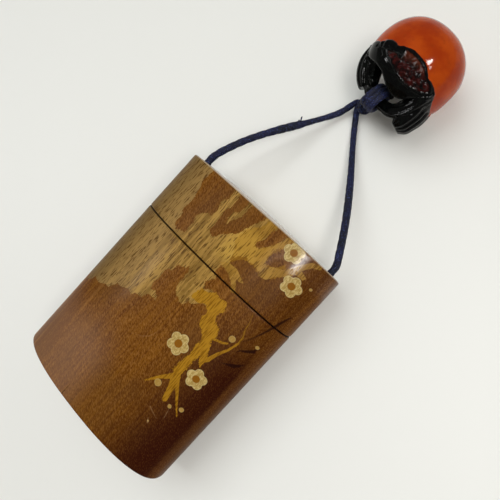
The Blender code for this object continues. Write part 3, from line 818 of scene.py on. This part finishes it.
# Toggle: a lacquered dome with a carved hood over an open front, where arms curl round to the cord's bar.
# The front's rows are across, along and slope, and an arm's are across, along, up, half width and half
# height. All but the slope are shares of the toggle's half sizes. They follow the solid's rows, but the
# front arm is narrower.
toggleFront = dict(reach=1.3, lean=0.42, far=-36.0, spacing=0.05, rows=[
    (-1.20, -0.53, -0.33), (-0.78, -0.51, -0.33), (-0.66, -0.47, -0.36), (-0.53, -0.46, -0.40),
    (-0.42, -0.44, -0.45), (-0.26, -0.48, -0.52), (-0.09, -0.54, -0.58), (0.05, -0.60, -0.58),
    (0.17, -0.61, -0.58), (0.29, -0.56, -0.56), (0.36, -0.49, -0.53), (0.45, -0.40, -0.48),
    (0.52, -0.30, -0.42), (0.58, -0.19, -0.36)])
arms = [
    dict(ridges=13, lean=(0.35, -0.32), rows=[
        (-0.64, -0.15, 0.0, 0.17, 0.58), (-0.70, -0.33, -0.02, 0.20, 0.54),
        (-0.67, -0.50, -0.04, 0.21, 0.48), (-0.58, -0.66, -0.07, 0.20, 0.41),
        (-0.47, -0.80, -0.09, 0.18, 0.34), (-0.36, -0.915, -0.11, 0.155, 0.28),
        (-0.24, -0.985, -0.111, 0.159, 0.267), (0.0, -1.0076, -0.111, 0.159, 0.267),
        (0.20, -0.997, -0.111, 0.150, 0.267), (0.36, -0.955, -0.09, 0.18, 0.34),
        (0.50, -0.82, -0.06, 0.21, 0.41), (0.57, -0.60, -0.03, 0.22, 0.48),
        (0.61, -0.35, -0.01, 0.22, 0.54), (0.64, -0.12, 0.0, 0.18, 0.56)]),
    dict(ridges=11, lean=(0.28, -0.22), rows=[
        (-0.79, 0.05, -0.02, 0.10, 0.46), (-0.80, -0.12, -0.02, 0.18, 0.48),
        (-0.84, -0.33, -0.03, 0.22, 0.47), (-0.81, -0.56, -0.05, 0.23, 0.43),
        (-0.715, -0.76, -0.08, 0.21, 0.38), (-0.59, -0.92, -0.11, 0.17, 0.34),
        (-0.45, -1.03, -0.14, 0.13, 0.29)]),
    dict(ridges=10, lean=(-0.12, -0.15), rows=[
        (0.68, -0.15, 0.0, 0.14, 0.48), (0.75, -0.42, -0.02, 0.18, 0.46), (0.775, -0.66, -0.05, 0.21, 0.41),
        (0.76, -0.88, -0.07, 0.21, 0.37), (0.745, -1.03, -0.09, 0.19, 0.34),
        (0.725, -1.16, -0.13, 0.08, 0.24)]),
]
armShape = dict(spacing=0.5, around=144, typical=(2.5, 5.4), flute=0.7, fluteFrom=(-0.45, -0.15))
flatSide = dict(facing=np.array((0.8803, 0.2001, -0.4302)), reach=12.9, keep=0.2)  # low at the right
# What is carved into the dome stands or sinks by these heights, and its lines are seen from above.
carving = dict(beads=[(-0.30, -0.90, 0.22, 1.25), (0.20, -0.80, 0.08, 0.75)], voxel=0.26, hood=0.28,
               hoodEdge=(-0.15, 0.25), hoodFrom=(-2.0, 3.0), topFrom=4.0, rim=0.30, rimAt=-0.25,
               rimWidth=0.32, swell=0.55, swellReach=2.6, sunk=0.25, pits=0.20, pitScale=4.2, pitSeed=5,
               tongue=0.55, tongueReach=0.9, furrow=0.22, ease=0.5, easeTimes=2)
# How the dome's own face is told from the arms and the cut: the power sum is 1 on it, and the rest is in mm
domeFace = dict(sums=(0.93, 1.06), flatSums=(0.85, 1.3), flatGap=0.6, bandAcross=(10.2, 10.8),
                bandAlong=(-2.6, -1.8), off=-4.0)
hoodBelow = [(16.0, -40.0), (-16.0, -40.0)]  # closes the hood's line far in front
hoodLine = [(-16.0, -5.4), (-12.0, -5.1), (-10.3, -4.9), (-8.4, -5.0), (-7.4, -4.7), (-6.8, -3.8),
            (-5.8, -3.3), (-4.0, -3.3), (-2.9, -3.6), (-1.8, -2.8), (-0.4, -2.3), (1.0, -1.8), (3.0, -1.7),
            (5.1, -1.7), (6.7, -2.0), (8.1, -2.8), (8.8, -3.3), (9.9, -3.1), (11.2, -3.1), (12.3, -3.5),
            (12.9, -5.0), (13.4, -5.7), (16.0, -5.9)]
lensLine = [(-4.2, -6.1), (-3.2, -5.6), (-1.8, -5.2), (-0.2, -5.2), (0.4, -4.4), (-0.3, -3.2), (0.9, -2.9),
            (2.6, -2.7), (4.7, -2.7), (6.6, -3.0), (8.0, -3.7), (9.5, -3.9), (10.4, -4.1), (11.0, -4.6),
            (10.6, -5.4), (9.6, -6.4), (8.4, -7.0), (6.8, -7.7), (5.2, -8.2), (3.6, -8.3), (1.7, -7.9),
            (-0.7, -7.3), (-3.3, -6.7)]
tongueLine = [(-7.6, -4.9, 0.9), (-5.4, -4.2, 0.95), (-3.0, -4.3, 0.9), (-1.2, -4.7, 0.75),
              (-0.2, -5.1, 0.6)]
creases = [
    [(-8.6, -6.2, 0.3), (-5.4, -6.4, 0.3), (-2.9, -7.4, 0.3), (-0.3, -8.1, 0.3), (2.1, -8.8, 0.3),
     (4.5, -9.0, 0.3), (7.6, -8.4, 0.3), (10.0, -7.0, 0.3), (11.6, -5.2, 0.3)],
    [(-7.0, -4.6, 0.3), (-7.2, -6.4, 0.3), (-5.2, -7.6, 0.3)],
]


def makeDome(around=120, levels=74):
    angle = turnSteps(around)
    rings = [np.column_stack([math.sin(t) * np.cos(angle), math.sin(t) * np.sin(angle),
                              np.full(around, -math.cos(t))]) for t in np.linspace(0, math.pi, levels)[1:-1]]
    points, faces = skin(rings, (0, 0, -1), (0, 0, 1))
    half = np.array(toggle["half"])
    total = (np.abs(points / half) ** toggle["power"]).sum(axis=1)
    points = points / (total ** (1 / toggle["power"]))[:, None]
    over = np.maximum(points @ flatSide["facing"] - flatSide["reach"], 0.0) * (1 - flatSide["keep"])
    points -= over[:, None] * flatSide["facing"]
    points[:, 2] = np.maximum(points[:, 2], toggle["foot"] - half[2])
    return makeMesh("dome", points, faces)


def makeFrontBlock():  # the open front, cut out of the dome
    wide, deep, tall = toggle["half"]
    rows = smoothRows([(x, y, 0.0, lean) for x, y, lean in toggleFront["rows"]], toggleFront["spacing"])
    rings = []
    for rise in (-toggleFront["reach"] * tall, toggleFront["reach"] * tall):
        ring = [(x * wide + toggleFront["lean"] * rise, y * deep + lean * rise, rise)
                for x, y, lean in rows[:, (0, 1, 3)]]
        ring += [(ring[-1][0], toggleFront["far"], rise), (ring[0][0], toggleFront["far"], rise)]
        rings.append(np.array(ring))
    points, faces = skin(rings, rings[0].mean(axis=0), rings[1].mean(axis=0))
    return makeMesh("front_block", points, faces)


def makeArm(arm):
    wide, deep, tall = toggle["half"]
    rows = [(*toggleShare(*row[:3]), row[3] * deep, row[4] * tall) for row in arm["rows"]]
    rows = smoothRows(rows, armShape["spacing"])
    path = rows[:, :3]
    outward = np.cross(np.gradient(path, axis=0), (0, 0, 1))
    outward /= np.linalg.norm(outward, axis=1)[:, None]
    angle = turnSteps(armShape["around"])
    section = np.column_stack([rounded(np.cos(angle)), rounded(np.sin(angle))]) * armShape["typical"]
    steps = np.linalg.norm(np.roll(section, -1, axis=0) - section, axis=1)
    share = np.concatenate(([0.0], np.cumsum(steps)[:-1])) / steps.sum()
    ridges = np.abs(np.sin(math.pi * share * arm["ridges"]))
    flute = armShape["flute"] * (1 - ridges) * blendStep(np.sin(angle), *armShape["fluteFrom"])
    rings = []
    for centre, side, row in zip(path, outward, rows):
        across = rounded(np.cos(angle)) * (row[3] - flute)
        up = rounded(np.sin(angle)) * (row[4] - flute)
        lean = np.column_stack([arm["lean"][0] * up, arm["lean"][1] * up, up])
        rings.append(centre + np.outer(across, side) + lean)
    points, faces = skin(rings, path[0], path[-1])
    return makeMesh("arm", points, faces)


def makeBead(across, along, up, radius):
    work = bmesh.new()
    bmesh.ops.create_uvsphere(work, u_segments=24, v_segments=16, radius=radius * mm)
    work.transform(Matrix.Translation(Vector(toggleShare(across, along, up)) * mm))
    return fromWork("bead", work)


def lumps(points, scale, seed, waves=14):  # a quick bumpy field from summed waves, about -1 to 1
    source = np.random.default_rng(seed)
    total = np.zeros(len(points))
    for _ in range(waves):
        direction = source.normal(size=3)
        direction /= np.linalg.norm(direction)
        total += np.sin(points @ direction * scale * source.uniform(0.7, 1.5) + source.uniform(0, 6.28))
    return total / 3.2


def dished(distance, reach):  # rises steeply from an edge, then levels off
    return np.sqrt(np.clip(distance / reach, 0, 1))


def carveDome(item):  # the raised hood, its sunk panel with a rim, pits and tongue, and the furrows round it
    points, normals = vertexRows(item, "co") / mm, vertexRows(item, "normal")
    x, y, z = points.T
    inDome = (np.abs(points / np.array(toggle["half"])) ** toggle["power"]).sum(axis=1)
    onFlat = np.abs(points @ flatSide["facing"] - flatSide["reach"]) < domeFace["flatGap"]
    (low, high), (flatLow, flatHigh) = domeFace["sums"], domeFace["flatSums"]
    onDome = ((inDome > low) & (inDome < high)) | (onFlat & (inDome > flatLow) & (inDome < flatHigh))
    onTop = onDome & (z > carving["topFrom"])
    black = inOutline(x, y, hoodBelow + hoodLine)
    lens = np.where(onTop, inOutline(x, y, lensLine), domeFace["off"])
    tongue = alongLine(x, y, tongueLine)
    hood = carving["hood"] * blendStep(black, *carving["hoodEdge"]) * onDome
    hood *= blendStep(z, *carving["hoodFrom"])
    rim = carving["rim"] * np.exp(-((lens - carving["rimAt"]) / carving["rimWidth"]) ** 2) * onTop
    swell = carving["swell"] * dished(lens, carving["swellReach"]) - carving["sunk"] * (lens > 0)
    pits = carving["pits"] * lumps(points, carving["pitScale"], carving["pitSeed"])
    pits *= blendStep(lens, 0.1, 0.8) * (1 - blendStep(tongue, -0.1, 0.3))
    ridge = carving["tongue"] * dished(tongue, carving["tongueReach"]) * onTop
    furrow = carving["furrow"] * blendStep(alongAny(x, y, creases), -0.3, 0.25) * onTop
    points = points + normals * (hood + rim + swell + pits + ridge - furrow)[:, None]
    points[:, 2] = np.maximum(points[:, 2], toggle["foot"] - toggle["half"][2])
    item.data.vertices.foreach_set("co", (fromToggle(points) * mm).ravel())
    item.data.update()
    onBand = blendStep(-x, *domeFace["bandAcross"]) * blendStep(-y, *domeFace["bandAlong"]) * (inDome > high)
    store(item, "black", np.where(onDome & (onBand < 0.5), black, np.maximum(black, 1.0)))
    store(item, "lens", np.minimum(lens, -tongue))


# Lacquer: vermilion and black, and a dark red panel that turns warm at its far end
lacquer = dict(red=(paint(150, 47, 0), paint(171, 65, 5)), dullRed=paint(124, 46, 2),
               black=(paint(3, 3, 3), paint(12, 15, 13)), panel=(paint(10, 2, 2), paint(56, 11, 8)),
               warm=paint(96, 46, 22), warmFrom=(94.0, 97.0), redCoat=0.12)


def lacquerFinish():
    finish = Finish("toggle_lacquer")
    spot = finish.place()
    cloud = finish.noise(spot, 0.16, 3, 0.55)
    mottle = finish.noise(spot, 0.7, 3, 0.6)
    red = finish.blend(finish.step(cloud, 0.36, 0.66), *lacquer["red"])
    red = finish.blend(finish.step(mottle, 0.56, 0.74) * 0.3, red, lacquer["dullRed"])
    black = finish.blend(finish.step(mottle, 0.45, 0.75), *lacquer["black"])
    pits = finish.noise(spot, 0.75, 3, 0.6)
    panel = finish.blend(finish.step(pits, 0.36, 0.66), *lacquer["panel"])
    panel = finish.blend(finish.step(finish.axis("Y"), *lacquer["warmFrom"]) * 0.4, panel, lacquer["warm"])
    edge = (finish.noise(spot, 1.1, 2) - 0.5) * 0.5
    blackHere = finish.inside(finish.read("black") + edge, 0.06)
    colour = finish.blend(blackHere, red, black)
    colour = finish.blend(finish.step(finish.read("lens") + edge, -0.15, 0.25), colour, panel)
    finish.put(Base_Color=colour, Roughness=0.09, Specular_IOR_Level=0.08, Coat_Roughness=0.10,
               Coat_Weight=(1 - blackHere) * lacquer["redCoat"], Normal=finish.bump(mottle, 0.03, 0.5))
    return finish


def makeToggle():
    dome = makeDome()
    cut(dome, makeFrontBlock())
    beads = [makeBead(*bead) for bead in carving["beads"]]
    item = joined("toggle_carved", [dome] + [makeArm(arm) for arm in arms] + beads)
    remesh = item.modifiers.new("remesh", "REMESH")
    remesh.mode = "VOXEL"
    remesh.voxel_size = carving["voxel"] * mm
    ease = item.modifiers.new("ease", "SMOOTH")
    ease.factor = carving["ease"]
    ease.iterations = carving["easeTimes"]
    settle(item)
    carveDome(item)
    smooth(item, 180)
    dress(item, lacquerFinish(), "toggle_lacquer", "toggle")


# Light: a pale room, a soft window at the far left and a fill at the right that don't show in gloss, and
# lamps that only shine in glossy surfaces. Distances and sizes are in metres, and the room's aim in mm.
white, warm, cool = (1.0, 1.0, 1.0), (1.0, 0.98, 0.95), (0.93, 0.98, 1.0)
lights = {
    "window": dict(toward=(-0.42, 0.14, 0.88), far=1.5, size=1.2, power=10.6, colour=cool, glossy=False),
    "fill": dict(toward=(0.46, 0.04, 0.88), far=0.8, size=0.3, power=2.5, colour=warm, glossy=False),
    "panel": dict(toward=(0.10, -0.02, 0.99), far=1.0, size=0.07, power=2.4, colour=white, diffuse=False),
    "strip": dict(toward=(-0.62, -0.22, 0.75), far=1.0, size=0.11, power=4.2, colour=white, diffuse=False),
    "lamp_a": dict(toward=(0.33, 0.27, 0.90), far=0.8, size=0.07, power=1.1, colour=warm, diffuse=False),
    "lamp_b": dict(toward=(0.40, 0.34, 0.85), far=0.8, size=0.08, power=2.2, colour=warm, diffuse=False),
    "lamp_c": dict(toward=(0.43, 0.25, 0.87), far=0.8, size=0.05, power=0.9, colour=warm, diffuse=False),
    "flare": dict(toward=(0.48, 0.045, 0.875), far=0.82, size=0.12, power=2.0, colour=warm, diffuse=False),
    "lamp_d": dict(toward=(0.56, 0.20, 0.805), far=0.8, size=0.09, power=0.6, colour=warm, diffuse=False),
}
room = dict(colour=(1.0, 0.965, 0.91), strength=0.345, aim=(0, 20, 10))


def makeLights():
    for name, light in lights.items():
        data = bpy.data.lights.new(name, "AREA")
        data.size = light["size"]
        data.energy = light["power"]
        data.color = light["colour"]
        item = addItem(name, data)
        toward = Vector(light["toward"]).normalized()
        item.location = Vector(room["aim"]) * mm + toward * light["far"]
        item.rotation_euler = toward.to_track_quat("Z", "Y").to_euler()
        item.visible_glossy = light.get("glossy", True)
        item.visible_diffuse = light.get("diffuse", True)
    sky = bpy.data.worlds.new("room")
    sky.use_nodes = True
    back = sky.node_tree.nodes["Background"]
    back.inputs["Color"].default_value = (*room["colour"], 1.0)
    back.inputs["Strength"].default_value = room["strength"]
    bpy.context.scene.world = sky
    bpy.context.scene.view_settings.view_transform = "Standard"


table = dict(half=1.2, drop=0.05, colour=(0.80, 0.80, 0.765), roughness=0.6)  # half in metres


def makeTable():
    work = bmesh.new()
    bmesh.ops.create_grid(work, x_segments=1, y_segments=1, size=table["half"])
    item = fromWork("table", work)
    item.location.z = -table["drop"] * mm
    finish = Finish("table_top")
    finish.put(Base_Color=table["colour"], Roughness=table["roughness"])
    item.data.materials.append(finish.material)


print("camera, lights and table")
makeCamera()
makeLights()
makeTable()
print("cords and knot")
makeCords()
print("case")
makeCase()
print("toggle")
makeToggle()
